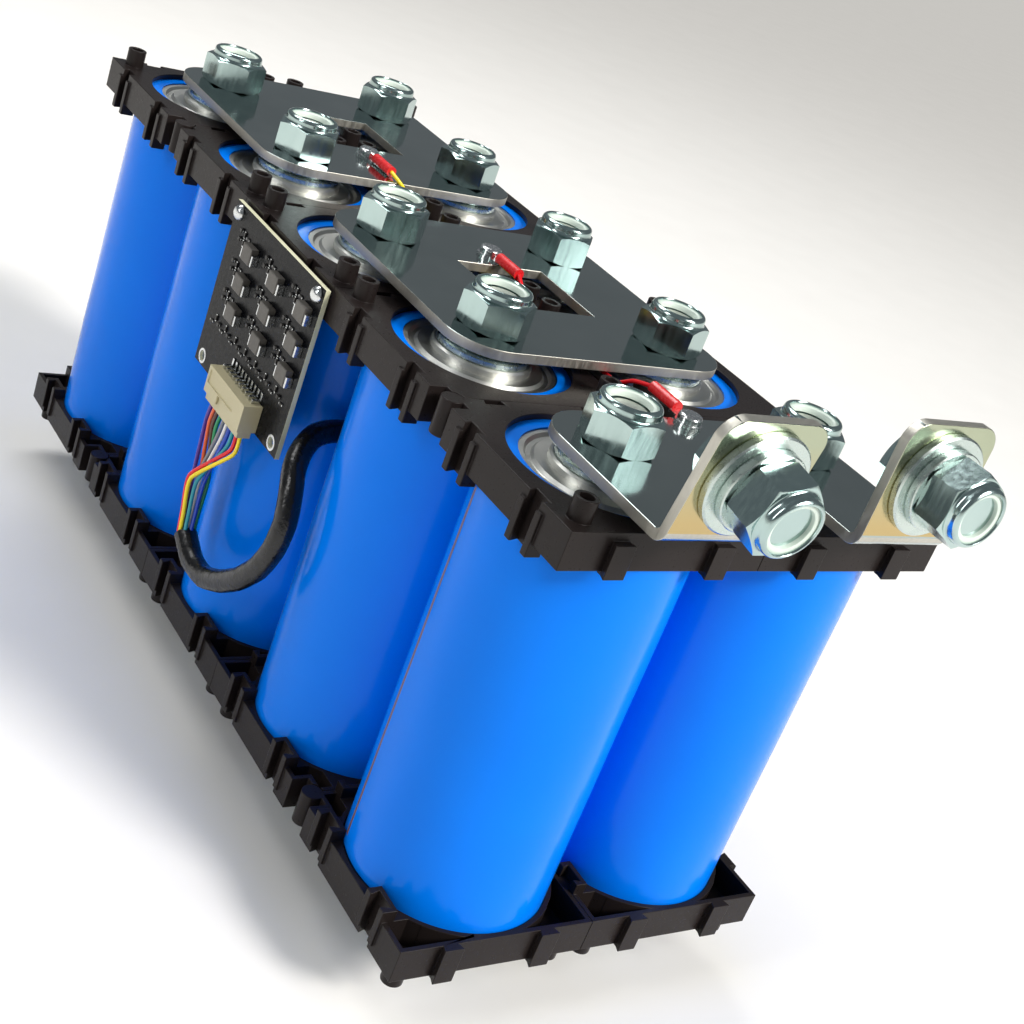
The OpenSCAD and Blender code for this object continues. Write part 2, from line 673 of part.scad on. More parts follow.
// Shrouded header, open downwards, with its back against the board
module board_header() {
    color("cornsilk") in_frame()
        translate([board_x - board_t - header_d, header_y - header_l / 2, header_low]) difference() {
            cube([header_d, header_l, header_h]);
            translate([header_wall, header_wall, -cut])
                cube([header_d - 2 * header_wall, header_l - 2 * header_wall, plug_in + cut]);
            translate([-cut, (header_l - key_w) / 2, -cut]) cube([header_wall + 2 * cut, key_w, key_h + cut]);
        }
}

// Plug that fills the header's mouth and holds the ten leads
module wire_plug() {
    plug_l = header_l - 2 * header_wall - 2 * plug_gap;
    plug_d = header_d - 2 * header_wall - 2 * plug_gap;
    color("ivory") in_frame() translate([plug_x - plug_d / 2, header_y - plug_l / 2, plug_low])
        cube([plug_d, plug_l, plug_drop + plug_in - plug_gap]);
}

// Frame of one tap: on the plate's outer face, with y the way that its lead leaves
module at_tap(t) {
    in_frame() translate([t[0], t[1], mid_z + t[2] * plate_top])
        mirror([0, 0, t[2] > 0 ? 0 : 1]) mirror([0, t[3] > 0 ? 0 : 1, 0]) children();
}

// Ring, neck and red sleeve in one crimped piece
module tap_terminals() {
    color("firebrick") for (t = taps) at_tap(t) {
        difference() {
            union() {
                cylinder(d = ring_d, h = ring_t_metal, $fn = small_fn);
                translate([-crimp_d / 2, 0, 0]) cube([crimp_d, ring_d / 2 + ring_neck, ring_t_metal]);
            }
            translate([0, 0, -cut])
                cylinder(d = ring_screw_d + 2 * small_fit, h = ring_t_metal + 2 * cut, $fn = small_fn);
        }
        translate([0, crimp_from, crimp_d / 2]) rotate([-90, 0, 0])
            cylinder(d = crimp_d, h = crimp_len, $fn = 24);
    }
}

module tap_screws() {
    color("lightgrey") for (t = taps) at_tap(t) {
        translate([0, 0, -plate_t]) cylinder(d = ring_screw_d, h = plate_t + ring_t_metal, $fn = small_fn);
        translate([0, 0, ring_t_metal]) rotate_extrude($fn = small_fn)
            polygon(concat([[0, 0], [ring_head_d / 2, 0]],
                           arc(ring_head_d / 2 - 1, ring_head_h - 1, 1, 0, 90, 4), [[0, ring_head_h]]));
    }
}

function plug_lead(k) =
    let (e = harness_route[0], s = bundle[k])
    [[plug_x, header_y + (k - (pins - 1) / 2) * pin_pitch, plug_low],
     [e[0] + 1.3 * s[0], e[1] + 1.3 * s[1], e[2] + bundle_up], [e[0] + s[0], e[1] + s[1], e[2]]];

module tap_leads() {
    color("crimson") in_frame() {
        for (route = tap_routes) tube(route, lead_d, lead_sides, lead_up);
        for (k = [0:pins - 1]) tube(plug_lead(k), lead_d, lead_sides, lead_up);
    }
}

module harness_sleeve() {
    color([0.1, 0.1, 0.1]) in_frame() tube(harness_route, harness_d, harness_sides, route_up);
}

for (row = [0:1]) for (i = PAIRS) {
    cell(row, i);
    sleeve(row, i);
    top_module(row, i);
    bottom_module(row, i);
}
top_plate_rear();
top_plate_middle();
terminal_plate();
bottom_plate_rear();
bottom_plate_middle();
bottom_plate_front();
terminal_washers();
terminal_nuts();
lug_bolts();
lug_washers();
lug_nuts();
balance_board();
board_screws();
board_resistors();
board_header();
wire_plug();
tap_terminals();
tap_screws();
tap_leads();
harness_sleeve();
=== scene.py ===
import math
import random

import bpy
from mathutils import Matrix, Vector


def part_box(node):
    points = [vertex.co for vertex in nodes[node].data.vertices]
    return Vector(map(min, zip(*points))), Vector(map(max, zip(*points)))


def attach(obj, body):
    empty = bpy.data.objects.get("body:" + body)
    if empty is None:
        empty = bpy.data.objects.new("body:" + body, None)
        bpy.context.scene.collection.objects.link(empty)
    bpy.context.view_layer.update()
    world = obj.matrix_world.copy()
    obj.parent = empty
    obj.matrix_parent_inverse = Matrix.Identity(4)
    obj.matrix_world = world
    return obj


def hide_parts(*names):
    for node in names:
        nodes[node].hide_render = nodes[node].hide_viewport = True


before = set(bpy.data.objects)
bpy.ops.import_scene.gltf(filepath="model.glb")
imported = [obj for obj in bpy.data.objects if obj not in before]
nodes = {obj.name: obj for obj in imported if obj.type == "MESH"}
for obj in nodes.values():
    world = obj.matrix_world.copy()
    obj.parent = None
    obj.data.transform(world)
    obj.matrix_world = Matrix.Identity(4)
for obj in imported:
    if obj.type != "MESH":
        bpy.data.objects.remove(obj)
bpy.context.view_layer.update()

mm = 0.001
random.seed(17)

# the CAD source works from the pack's centre, the frame from the middle of its box
packShift = (4.775, 16.2769, 0)


# small helpers

def packPoint(point):
    return Vector([(point[i] + packShift[i]) * mm for i in range(3)])


def deselectAll():
    if bpy.context.object and bpy.context.object.mode != "OBJECT":
        bpy.ops.object.mode_set(mode="OBJECT")
    for thing in list(bpy.context.selected_objects):
        thing.select_set(False)


def makeActive(piece):
    deselectAll()
    piece.select_set(True)
    bpy.context.view_layer.objects.active = piece


def startEdit(piece):
    makeActive(piece)
    bpy.ops.object.mode_set(mode="EDIT")
    bpy.ops.mesh.select_all(action="DESELECT")


def endEdit():
    bpy.ops.object.mode_set(mode="OBJECT")


def settle(piece):
    # puts a piece's place and turn into its mesh
    makeActive(piece)
    bpy.ops.object.transform_apply(location=True, rotation=True, scale=True)


def applyModifier(piece, kind, **settings):
    makeActive(piece)
    modifier = piece.modifiers.new(kind.lower(), kind)
    for name, value in settings.items():
        setattr(modifier, name, value)
    bpy.ops.object.modifier_apply(modifier=modifier.name)


def smoothByAngle(piece, degrees=35):
    makeActive(piece)
    bpy.ops.object.shade_smooth_by_angle(angle=math.radians(degrees))


def flatFacesFirst(piece):
    # large flat faces keep their own shading, and the eased edges carry the turn
    applyModifier(piece, "WEIGHTED_NORMAL", keep_sharp=True, weight=50)


def joinPieces(pieces, name):
    deselectAll()
    for piece in pieces:
        piece.select_set(True)
    bpy.context.view_layer.objects.active = pieces[0]
    if len(pieces) > 1:
        bpy.ops.object.join()
    joined = bpy.context.view_layer.objects.active
    joined.name = joined.data.name = name
    return joined


def copyPiece(model, name, matrix):
    twin = model.copy()
    twin.data = model.data.copy()
    twin.name = twin.data.name = name
    bpy.context.collection.objects.link(twin)
    twin.data.transform(matrix)
    return twin


def discard(piece):
    bpy.data.objects.remove(piece, do_unlink=True)


def spinOutline(outline, name, steps=64, degrees=360.0, closed=True):
    # a ring of points moved onto an outline in the x-z plane, then spun round z. An outline that starts
    # and ends on the axis isn't closed, and loses the edge that would run along it
    deselectAll()
    bpy.ops.mesh.primitive_circle_add(vertices=len(outline), fill_type="NOTHING")
    piece = bpy.context.object
    piece.name = piece.data.name = name
    for vertex, (r, z) in zip(piece.data.vertices, outline):
        vertex.co = (r * mm, 0, z * mm)
    startEdit(piece)
    if not closed:
        bpy.context.tool_settings.mesh_select_mode = (False, True, False)
        endEdit()
        for edge in piece.data.edges:
            edge.select = set(edge.vertices) == {0, len(outline) - 1}
            for index in edge.vertices:
                piece.data.vertices[index].select = piece.data.vertices[index].select or edge.select
        bpy.ops.object.mode_set(mode="EDIT")
        bpy.ops.mesh.delete(type="EDGE")
        bpy.context.tool_settings.mesh_select_mode = (True, False, False)
    bpy.ops.mesh.select_all(action="SELECT")
    bpy.ops.mesh.spin(steps=steps, angle=math.radians(degrees), center=(0, 0, 0), axis=(0, 0, 1))
    bpy.ops.mesh.select_all(action="SELECT")
    bpy.ops.mesh.remove_doubles(threshold=0.000002)
    if degrees < 360:
        bpy.ops.mesh.select_all(action="DESELECT")
        bpy.ops.mesh.select_non_manifold()
        bpy.ops.mesh.fill_holes(sides=0)
        bpy.ops.mesh.select_all(action="SELECT")
    bpy.ops.mesh.normals_make_consistent(inside=False)
    endEdit()
    return piece


def plainBox(low, high):
    deselectAll()
    bpy.ops.mesh.primitive_cube_add(size=1, location=[(a + b) / 2 * mm for a, b in zip(low, high)])
    piece = bpy.context.object
    piece.name = piece.data.name = "cutter"
    piece.scale = [(b - a) * mm for a, b in zip(low, high)]
    settle(piece)
    return piece


def mergeFlats(piece, distance):
    # welds loose triangles and takes away the edges inside flat faces
    startEdit(piece)
    bpy.ops.mesh.select_all(action="SELECT")
    bpy.ops.mesh.remove_doubles(threshold=distance)
    bpy.ops.mesh.dissolve_limited(angle_limit=math.radians(0.6))
    endEdit()
    closeHoles(piece)


def closeHoles(piece):
    startEdit(piece)
    bpy.ops.mesh.select_non_manifold()
    bpy.ops.mesh.fill_holes(sides=0)
    endEdit()


def easedCopy(nodeName, name, bevel, cutter=None):
    # the node's own shape with its sharp edges eased, as every moulded or cut edge is
    twin = copyPiece(nodes[nodeName], name, nodes[nodeName].matrix_world.copy())
    twin.parent = None
    twin.matrix_world = Matrix()
    twin.data.materials.clear()
    mergeFlats(twin, 0.000004)
    if cutter:
        applyModifier(twin, "BOOLEAN", object=cutter, operation="DIFFERENCE", solver="EXACT")
        mergeFlats(twin, 0.000012)
    if bevel:
        # unclamped, because one short edge would otherwise hold back every other one
        applyModifier(twin, "BEVEL", width=bevel * mm, segments=2, limit_method="ANGLE",
                      angle_limit=math.radians(40), use_clamp_overlap=False)
        closeHoles(twin)
    smoothByAngle(twin, 38 if bevel else 30)
    flatFacesFirst(twin)
    return twin


def dress(piece, material, standsFor=()):
    if len(piece.data.materials) == 0:
        piece.data.materials.append(material)
    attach(piece, "root")
    if standsFor:
        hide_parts(*standsFor)


def paintFaces(piece, material, test):
    # gives a second finish to the faces that pass a test of centre and normal
    piece.data.materials.append(material)
    index = len(piece.data.materials) - 1
    for face in piece.data.polygons:
        if test(face.center, face.normal):
            face.material_index = index


# materials

finishes = {}
broadPattern = 40  # mm, how far the two colours of a finish lie apart


def linear(hexText):
    values = [int(hexText[i:i + 2], 16) / 255 for i in (1, 3, 5)]
    return tuple([v / 12.92 if v <= 0.04045 else ((v + 0.055) / 1.055) ** 2.4 for v in values] + [1.0])


def addNode(tree, kind, values=None, links=None, **settings):
    made = tree.nodes.new(kind)
    for name, value in settings.items():
        setattr(made, name, value)
    for socket, value in (values or {}).items():
        made.inputs[socket].default_value = value
    for socket, source in (links or {}).items():
        tree.links.new(source, made.inputs[socket])
    return made


def surfaceFinish(name, colours, grain, roughness, bump, metallic=0.0, stretch=(1, 1, 1), rise=None,
                  **extra):
    # two colours mixed over the surface, or from the lower to the upper height of rise in mm, a
    # pattern of that grain in mm, roughness low and high, and bump in mm
    material = finishes[name] = bpy.data.materials.new(name)
    material.use_nodes = True
    tree = material.node_tree
    shader = tree.nodes["Principled BSDF"]
    shader.inputs["Metallic"].default_value = metallic
    for socket, value in extra.items():
        shader.inputs[socket.replace("_", " ")].default_value = value
    place = addNode(tree, "ShaderNodeTexCoord")
    turned = addNode(tree, "ShaderNodeMapping", {"Scale": stretch}, {"Vector": place.outputs["Object"]})
    pattern = addNode(tree, "ShaderNodeTexNoise",
                      {"Scale": 1000.0 / grain, "Detail": 4.0, "Roughness": 0.55},
                      {"Vector": turned.outputs["Vector"]})
    broad = addNode(tree, "ShaderNodeTexNoise", {"Scale": 1000.0 / broadPattern, "Detail": 3.0},
                    {"Vector": place.outputs["Object"]})
    share = broad.outputs["Fac"]
    if rise:
        split = addNode(tree, "ShaderNodeSeparateXYZ", None, {"Vector": place.outputs["Object"]})
        share = addNode(tree, "ShaderNodeMapRange",
                        {"From Min": rise[0] * mm, "From Max": rise[1] * mm},
                        {"Value": split.outputs["Z"]}).outputs["Result"]
    blend = addNode(tree, "ShaderNodeMix", {6: linear(colours[0]), 7: linear(colours[1])}, {0: share},
                    data_type="RGBA")
    tree.links.new(blend.outputs[2], shader.inputs["Base Color"])
    gloss = addNode(tree, "ShaderNodeMapRange",
                    {"From Min": 0.3, "From Max": 0.7, "To Min": roughness[0], "To Max": roughness[1]},
                    {"Value": pattern.outputs["Fac"]})
    tree.links.new(gloss.outputs["Result"], shader.inputs["Roughness"])
    if bump:
        relief = addNode(tree, "ShaderNodeBump", {"Strength": 1.0, "Distance": bump * mm},
                         {"Height": pattern.outputs["Fac"]})
        tree.links.new(relief.outputs["Normal"], shader.inputs["Normal"])
    return material


print("materials")
# shrink-wrapped PVC film: saturated and glossy, with fine lines drawn along it as it shrank
surfaceFinish("blueShrinkPvc", ("#0073E8", "#007CF4"), 3.6, (0.12, 0.22), 0.016, stretch=(1, 1, 0.05),
              IOR=1.53, Specular_IOR_Level=0.11)
# overlap of the same film: the glue line shows dull and pinkish through it, and the same reddish-brown
# also stands for a painted reflection down that side of the cells
surfaceFinish("lapSeamAndPaintedReflection", ("#5A3A3C", "#8A6460"), 2.2, (0.30, 0.42), 0.02, stretch=(1, 1, 0.1),
              IOR=1.53)
# injection-moulded nylon: warm black with a satin spark-eroded grain
surfaceFinish("blackMouldedNylon", ("#1A1615", "#272120"), 0.9, (0.26, 0.40), 0.02, IOR=1.53,
              Specular_IOR_Level=0.14)
# deep-drawn aluminium, left bare and satin
surfaceFinish("drawnAluminium", ("#C2C3BF", "#D8D8D2"), 2.6, (0.30, 0.40), 0.003, metallic=1.0)
# bright nickel over copper: close to a mirror, with faint handling smears
surfaceFinish("brightNickelPlate", ("#9BA8A5", "#BAC3C0"), 14.0, (0.05, 0.17), 0.010, metallic=1.0)
# the same sheet at the bent lugs' fronts, with a painted reflection in its colour: straw below and
# blue-green at the tip
surfaceFinish("lugPaintedReflection", ("#BFA978", "#AEB59C"), 9.0, (0.14, 0.26), 0.006, metallic=1.0,
              rise=(172, 196))
# plate edge left from the saw: paler and streaked across its thickness
surfaceFinish("sawnPlateEdge", ("#B4B2A8", "#D2CFC5"), 0.7, (0.34, 0.55), 0.06, metallic=1.0,
              stretch=(1, 1, 0.15))
# blue-passivated zinc on forged steel: cold green tint, lightly scored where tools slid along it
surfaceFinish("blueZincSteel", ("#A4BCBA", "#C0D2CF"), 1.3, (0.12, 0.23), 0.004, metallic=1.0,
              stretch=(1, 1, 0.12))
# zinc on stamped washers: whiter and a little duller
surfaceFinish("zincWasherSteel", ("#B7C6C2", "#D0DAD5"), 3.0, (0.20, 0.34), 0.004, metallic=1.0)
# locking ring of a nut: off-white nylon, waxy
surfaceFinish("nylonLockRing", ("#C2D2C8", "#DCE6DC"), 1.5, (0.3, 0.45), 0.004, IOR=1.53)
# solder mask over FR4: near black and smooth, slightly uneven to the touch
surfaceFinish("blackSolderMask", ("#050608", "#0A0B10"), 1.8, (0.22, 0.34), 0.02, IOR=1.5,
              Specular_IOR_Level=0.12)
# routed FR4 edge: pale straw glass fibre
surfaceFinish("routedFr4Edge", ("#B9B998", "#D5D4B8"), 0.5, (0.5, 0.7), 0.03)
# moulded resistor body: dark grey epoxy
surfaceFinish("greyResistorEpoxy", ("#45423E", "#5E5A54"), 0.8, (0.36, 0.52), 0.01)
# tin on solder pads, end caps and pins
surfaceFinish("tinnedCopper", ("#C5C8C9", "#DFE1E1"), 0.8, (0.16, 0.30), 0.006, metallic=1.0)
# small ceramic and silicon parts
surfaceFinish("smallPartCeramic", ("#161618", "#35322E"), 0.6, (0.35, 0.55), 0.0)
# natural nylon 66 of the header and plug: cream, satin
surfaceFinish("creamNylon", ("#B4AA86", "#CCC3A0"), 0.8, (0.36, 0.52), 0.01, IOR=1.53)
# black shrink tube pulled over ten leads: glossy, creased and lumpy where it drew in
surfaceFinish("blackShrinkTube", ("#070708", "#111113"), 5.5, (0.16, 0.34), 0.55, IOR=1.5)
# red PVC sleeve over a crimped barrel
surfaceFinish("redCrimpSleeve", ("#C3161C", "#E22A2E"), 1.5, (0.2, 0.35), 0.02, IOR=1.53)
# extruded PVC insulation on a 22 AWG lead: smooth, waxy gloss
leadColours = {"purple": "#5A3A9A", "orange": "#EE6A38", "white": "#E8E5DE", "red": "#E60F1E",
               "yellow": "#FFDF10", "green": "#169058", "teal": "#0E93A0", "blue": "#1E46B4",
               "grey": "#80838A", "brown": "#5E3524"}
for colourName, colour in leadColours.items():
    surfaceFinish(colourName + "PvcLead", (colour, colour), 1.2, (0.26, 0.4), 0.01, IOR=1.53)


# camera, at the photograph's own angle

print("camera")
view = {"target": (22.884, -26.923, 94.72), "azimuth": -40.552, "elevation": 24.499,
        "distance": 531.98, "roll": 21.126, "lens": 57.27, "sensor": 36, "nearest": 0.01}


def placeCamera():
    azimuth, elevation, roll = (math.radians(view[k]) for k in ("azimuth", "elevation", "roll"))
    away = Vector((math.sin(azimuth) * math.cos(elevation), -math.cos(azimuth) * math.cos(elevation),
                   math.sin(elevation)))
    right = (-away).cross(Vector((0, 0, 1))).normalized()
    up = right.cross(-away)
    rolledRight = math.cos(roll) * right + math.sin(roll) * up
    rolledUp = -math.sin(roll) * right + math.cos(roll) * up
    place = (Vector(view["target"]) + away * view["distance"]) * mm
    bpy.ops.object.camera_add()
    camera = bpy.context.object
    camera.data.lens = view["lens"]
    camera.data.sensor_width = view["sensor"]
    camera.data.clip_start = view["nearest"]
    camera.matrix_world = Matrix((
        (rolledRight.x, rolledUp.x, away.x, place.x), (rolledRight.y, rolledUp.y, away.y, place.y),
        (rolledRight.z, rolledUp.z, away.z, place.z), (0, 0, 0, 1)))
    bpy.context.scene.camera = camera


placeCamera()


# cords: the leads and their sleeve, on the routes of the CAD source

print("leads")
leadValues = {"diameter": 1.3, "smoothSteps": 6, "handle": 6, "plugX": -70.6, "headerY": -4.5,
              "plugLow": 102.52, "pinPitch": 2.5, "pins": 10, "plugHandle": 9, "plugDrop": 7,
              "plugBow": 0.4, "bundleUp": 9, "sweep": 1.6, "ringRadius": 2.3, "coreOffset": 0.68}
# how the plug's leads gather: how far apart, the share of the sweep, and how high over the mouth
gatherSteps = ((1.3, 1, 2.2), (1.1, 0.5, 0.8), (1, 0, 0))
harnessValues = {"diameter": 7.3, "smoothSteps": 3}
harnessRoute = [(-73, -4, 60.02), (-73, -13, 55.52), (-73, -23, 56.02), (-73, -33, 61.02),
                (-73, -43, 68.52), (-72, -50, 77.02), (-71, -53.5, 86.02), (-70, -53.5, 95.02),
                (-69, -50, 103.02), (-67, -44.5, 108.02), (-63, -39, 111.52), (-58, -35, 114.02),
                (-52, -33, 115.02), (-46, -32.5, 115.02)]
# each lead from its ring terminal to the hole between four modules, and on to the sleeve's far end
tapRoutes = {
    "tapLeadRearTop": ("yellow", [
        (-4, 54, 170.04), (-3, 46, 168.04), (-1.6, 38, 163.58), (-1.6, -22, 163.28),
        (-1.6, -31.8, 156.98), (-2.5, -31.8, 122.02), (-12, -31.8, 117.02), (-46, -31.8, 116.52)]),
    "tapLeadMiddleTop": ("red", [
        (0, -27, 170.04), (0, -30.5, 167.04), (0, -31.8, 159.98), (0, -31.8, 120.02),
        (-8, -31.8, 115.82), (-46, -31.8, 115.02)]),
    "tapLeadFrontTop": ("red", [
        (2, -99, 170.04), (1.8, -91, 167.54), (1.6, -84, 163.58), (1.6, -42, 163.28),
        (1.6, -31.8, 156.98), (1.6, -31.8, 116.02), (-8, -31.8, 113.62), (-46, -31.8, 113.52)]),
    "tapLeadRearLow": ("orange", [
        (0, 103, 11), (-1, 95, 13.5), (-1.6, 88, 17.46), (-1.6, -22, 17.76),
        (-1.6, -33.2, 23.96), (-1.6, -33.2, 106.02), (-10, -33.2, 113.02), (-46, -33.2, 113.52)]),
    "tapLeadMiddleLow": ("white", [
        (0, -21, 11), (0, -28, 13), (0, -33.2, 21.96), (0, -33.2, 108.02),
        (-8, -33.2, 114.62), (-46, -33.2, 115.02)]),
    "tapLeadFrontLow": ("purple", [
        (0, -42, 11), (0.8, -38.5, 12.5), (1.6, -34.5, 16.96), (1.6, -33.2, 24.96),
        (1.6, -33.2, 112.02), (-6, -33.2, 116.02), (-46, -33.2, 116.52)])}


def smoothRoute(points, steps, handle=leadValues["handle"]):
    # a rounded line through every point. The handle, in mm, caps how far a turn reaches, so that the
    # line stays close to the CAD tube's own route
    ends = [points[0]] + list(points) + [points[-1]]
    line = []
    for k in range(1, len(ends) - 2):
        before, start, end, after = (Vector(ends[k + j]) for j in (-1, 0, 1, 2))
        ahead = end - start
        pull = min(ahead.length, handle)
        leave = (end - before if k > 1 else ahead).normalized() * pull
        reach = (after - start if k < len(ends) - 3 else ahead).normalized() * pull
        for step in range(steps):
            t = step / steps
            line.append((2 * t ** 3 - 3 * t ** 2 + 1) * start + (t ** 3 - 2 * t ** 2 + t) * leave
                        + (-2 * t ** 3 + 3 * t ** 2) * end + (t ** 3 - t ** 2) * reach)
    line.append(Vector(ends[-2]))
    return line


def layCord(name, points, diameter, material, standsFor=()):
    deselectAll()
    line = [packPoint(p) for p in points]
    data = bpy.data.curves.new(name, "CURVE")
    data.dimensions = "3D"
    data.bevel_depth = diameter * mm / 2
    data.bevel_resolution = 4
    data.use_fill_caps = True
    spline = data.splines.new("POLY")
    spline.points.add(len(line) - 1)
    for spot, place in zip(spline.points, line):
        spot.co = (*place, 1)
    piece = bpy.data.objects.new(name, data)
    bpy.context.collection.objects.link(piece)
    dress(piece, material, standsFor)
    return piece


layCord("harnessSleeve", smoothRoute(harnessRoute, harnessValues["smoothSteps"]),
        harnessValues["diameter"], finishes["blackShrinkTube"],
        ["harness_sleeve"])
for name, (colourName, route) in tapRoutes.items():
    line = smoothRoute(route, leadValues["smoothSteps"])
    layCord(name, line, leadValues["diameter"], finishes[colourName + "PvcLead"])


def ringSpots(turns):
    # places round the mouth of the sleeve, as offsets along x and y
    radius = leadValues["ringRadius"]
    return [(radius * math.cos(math.radians(a)), radius * math.sin(math.radians(a))) for a in turns]


# in the order of the pins: the first two end up outermost, and the middle two lie in the core
core = leadValues["coreOffset"]
bundleSpots = ringSpots((190, 150, 235, 280)) + [(0, -core), (0, core)] + ringSpots((325, 10, 60, 105))
plugColours = ["yellow", "red", "teal", "blue", "white", "grey", "green", "brown", "orange", "purple"]


def pinPlace(k):
    # a pin's place along y, on the header and in the plug
    return leadValues["headerY"] + (k - (leadValues["pins"] - 1) / 2) * leadValues["pinPitch"]


def plugRoute(k):
    # out of the plug, down, and then together into the sleeve's mouth
    v = leadValues
    sideways, along = bundleSpots[k]
    mouth = harnessRoute[0]
    route = [(v["plugX"], pinPlace(k), v["plugLow"]),
             (v["plugX"] - v["plugBow"], pinPlace(k) + v["sweep"] * 0.3, v["plugLow"] - v["plugDrop"])]
    for spread, share, up in gatherSteps:
        route.append((mouth[0] + spread * sideways, mouth[1] + spread * along + v["sweep"] * share,
                      mouth[2] + up * v["bundleUp"]))
    return route


for k in range(leadValues["pins"]):
    line = smoothRoute(plugRoute(k), leadValues["smoothSteps"], leadValues["plugHandle"])
    layCord("plugLead%02d" % (k + 1), line, leadValues["diameter"],
                              finishes[plugColours[k] + "PvcLead"])
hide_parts("tap_leads")


# cells and their shrink sleeves

print("cells and sleeves")
cellNames = [row + str(i) for row in "ab" for i in range(1, 6)]


def cellCentre(name):
    low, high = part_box("cell_" + name)
    return Vector([(low[i] + high[i]) / 2 for i in range(3)])


for name in cellNames:
    nodes["cell_" + name].data.materials.clear()
    nodes["cell_" + name].data.materials.append(finishes["drawnAluminium"])

sleeveValues = {"radius": 30.5, "wall": 0.36, "halfLength": 68.95, "shoulder": 2.8, "openRadius": 23.0,
                "foldRadii": (27.0, 26.0, 25.0, 24.0), "endBand": 0.4, "rings": 44, "steps": 120,
                "filmFrom": 30.2, "crease": 0.05, "creasesRound": 5, "creaseSlant": 0.045,
                "creaseAlong": 0.08, "seedStep": 0.9, "seamRise": 0.126, "seamFrom": 30.3,
                "seamHalfLength": 57}


def sleeveOutline():
    # over one end, down the straight side, over the other end, and back along the inside
    v = sleeveValues
    ends = []
    for sign in (1, -1):
        turns = [math.radians(9 * k) for k in range(11)]
        corner = [(v["radius"] - v["shoulder"] * (1 - math.cos(a)),
                   v["halfLength"] - v["shoulder"] * (1 - math.sin(a))) for a in turns]
        fold = [(r, v["halfLength"]) for r in v["foldRadii"] + (v["openRadius"],)]
        ends.append([(r, sign * z) for r, z in corner + fold])
    flank = v["halfLength"] - v["shoulder"]
    straight = [(v["radius"], flank - 2 * flank * k / v["rings"]) for k in range(1, v["rings"])]
    outer = list(reversed(ends[0])) + straight + ends[1]
    inner = []
    for r, z in outer:
        atEnd = abs(z) > v["halfLength"] - v["endBand"]
        inner.append((r - v["wall"], z - math.copysign(v["wall"], z) if atEnd else z))
    inner[0] = (v["openRadius"], v["halfLength"] - v["wall"])
    inner[-1] = (v["openRadius"], -v["halfLength"] + v["wall"])
    return outer + list(reversed(inner))


def shrinkSleeve(name, turn, seed):
    # film that has drawn in: a lap seam down one side and a few long soft creases
    v = sleeveValues
    half = math.pi / v["steps"]  # half a step, so that the seam runs down one row of faces
    piece = spinOutline(sleeveOutline(), name, v["steps"])
    for vertex in piece.data.vertices:
        x, y, z = (c / mm for c in vertex.co)
        radius = math.hypot(x, y)
        if radius < v["filmFrom"]:
            continue
        angle = math.atan2(y, x)
        crease = (math.sin(angle * v["creasesRound"] + seed + z * v["creaseSlant"])
                  * math.sin(z * v["creaseAlong"] + seed * 2.3 + angle * 2))
        lap = v["seamRise"] if abs(angle - half) < half * 1.2 else 0
        scale = (radius + v["crease"] * (crease - 1) + lap) / radius
        vertex.co.x *= scale
        vertex.co.y *= scale

    def onSeamAndPaintedReflection(centre, normal):
        return (abs(math.atan2(centre.y, centre.x) - half) < half * 0.5
                and math.hypot(centre.x, centre.y) > v["seamFrom"] * mm
                and abs(centre.z) < v["seamHalfLength"] * mm)

    piece.data.materials.append(finishes["blueShrinkPvc"])
    # the seam's faces get a dull reddish-brown that is partly the lap seam and partly a painted
    # reflection
    paintFaces(piece, finishes["lapSeamAndPaintedReflection"], onSeamAndPaintedReflection)
    piece.data.transform(Matrix.Rotation(math.radians(turn), 4, "Z"))
    smoothByAngle(piece, 60)
    return piece


# where each sleeve's lap seam and its painted reflection face, in degrees round the cell, read from the
# picture on the left row
seamAndReflectionTurns = {"a1": 152, "a2": 148, "a3": 40, "a4": 146, "a5": 158,
             "b1": 20, "b2": -40, "b3": 60, "b4": 10, "b5": -25}
for order, name in enumerate(cellNames):
    piece = shrinkSleeve("sleeve." + name, seamAndReflectionTurns[name], order * sleeveValues["seedStep"])
    piece.data.transform(Matrix.Translation(cellCentre(name)))
    dress(piece, finishes["blueShrinkPvc"], ["sleeve_" + name])


# trays

print("trays")
trayValues = {"edge": 0.22, "half": 32.45, "wall": 1.6, "pocketEnds": (1.8, 16.8), "ringRadius": 32.3,
              "slotBlock": 21.22, "reach": 8.0, "plane": {"top": 161.32, "bottom": 19.72}}
# corners left as they are: the notched corner and the corner at the lead hole, as x and y signs
keptCorners = {"a1": (-1, -1), "a2": (-1, 1), "a3": (1, -1), "a4": (-1, -1), "a5": (-1, 1),
               "b1": (1, -1), "b2": (1, 1), "b3": (-1, -1), "b4": (1, -1), "b5": (1, 1)}
leadCorners = {"a4": (1, 1), "b4": (-1, 1)}


def pocketCutter(name, low, high):
    # the corner pockets run on behind the ribbed walls until the socket's ring closes them
    v = trayValues
    inner = v["half"] - v["wall"]
    boxes = []
    for sx, sy in ((-1, -1), (1, -1), (1, 1)):
        if (sx, sy) in (keptCorners[name], leadCorners.get(name)):
            continue
        fromX = v["slotBlock"] if (sx, sy) == (1, 1) else v["reach"]
        fromY = v["slotBlock"] if (sx, sy) == (-1, -1) else v["reach"]
        xs, ys = sorted((sx * fromX, sx * inner)), sorted((sy * fromY, sy * inner))
        boxes.append(plainBox((xs[0], ys[0], low), (xs[1], ys[1], high)))
    cutter = joinPieces(boxes, "pocketCutter")
    deselectAll()
    bpy.ops.mesh.primitive_cylinder_add(vertices=96, radius=v["ringRadius"] * mm,
                                        depth=(high - low + 4) * mm,  # 2 mm past each end
                                        location=(0, 0, (low + high) / 2 * mm))
    ring = bpy.context.object
    settle(ring)
    applyModifier(cutter, "BOOLEAN", object=ring, operation="DIFFERENCE", solver="EXACT")
    discard(ring)
    return cutter


